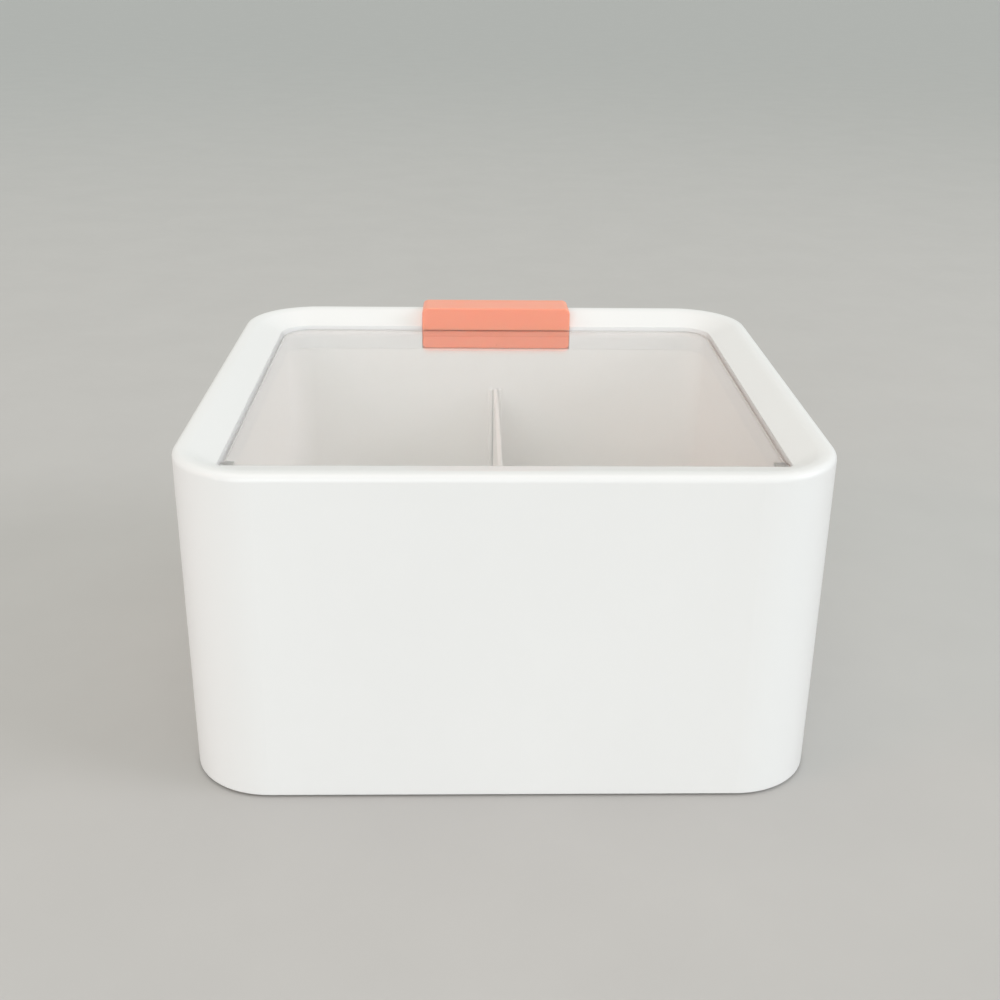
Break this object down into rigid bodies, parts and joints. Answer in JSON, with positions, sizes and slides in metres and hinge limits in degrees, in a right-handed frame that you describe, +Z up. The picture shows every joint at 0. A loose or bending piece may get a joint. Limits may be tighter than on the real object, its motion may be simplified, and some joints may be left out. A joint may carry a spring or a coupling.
{
  "type": "cotton pad holder with drawer",
  "caption": "Rounded box with a dished rim, a clear hinged lid with a coloured grip over two bays, and a drawer underneath.",
  "frame": {"origin": "on the table, at the middle of the whole footprint", "axes": "+Z up, +Y towards the drawer and the lid's grip, +X to the right when looking along +Y from the hinge side"},
  "size_m": [0.15, 0.1496, 0.0843],
  "materials": {
    "case_white": "satin gloss moulded",
    "tray_white": "satin moulded",
    "clear_plastic": "clear polished",
    "coral_plastic": "satin moulded",
    "foot_rubber": "matt",
    "screw_steel": "plated"
  },
  "bodies": {
    "case": {"outer_shell": "case_white", "compartment_tray": "tray_white", "divider": "tray_white", "base_plate": "case_white", "base_screws": "screw_steel", "foot_back_left": "foot_rubber", "foot_back_right": "foot_rubber", "foot_front_left": "foot_rubber", "foot_front_right": "foot_rubber", "runner_left": "tray_white", "runner_right": "tray_white"},
    "lid": {"lid_panel": "clear_plastic", "lid_grip_cap": "coral_plastic", "lid_grip_jaw": "coral_plastic"},
    "drawer": {"drawer_tray": "tray_white", "drawer_front": "case_white", "drawer_pull": "coral_plastic", "pull_screws": "screw_steel"}
  },
  "joints": [
    {"name": "lid_hinge", "type": "hinge", "parent": "case", "child": "lid", "pos_m": [0, -0.056, 0.0756], "axis": [1, 0, 0], "range_deg": [0, 115]},
    {"name": "drawer_slide", "type": "slide", "parent": "case", "child": "drawer", "axis": [0, 1, 0], "range_m": [0, 0.095]}
  ]
}
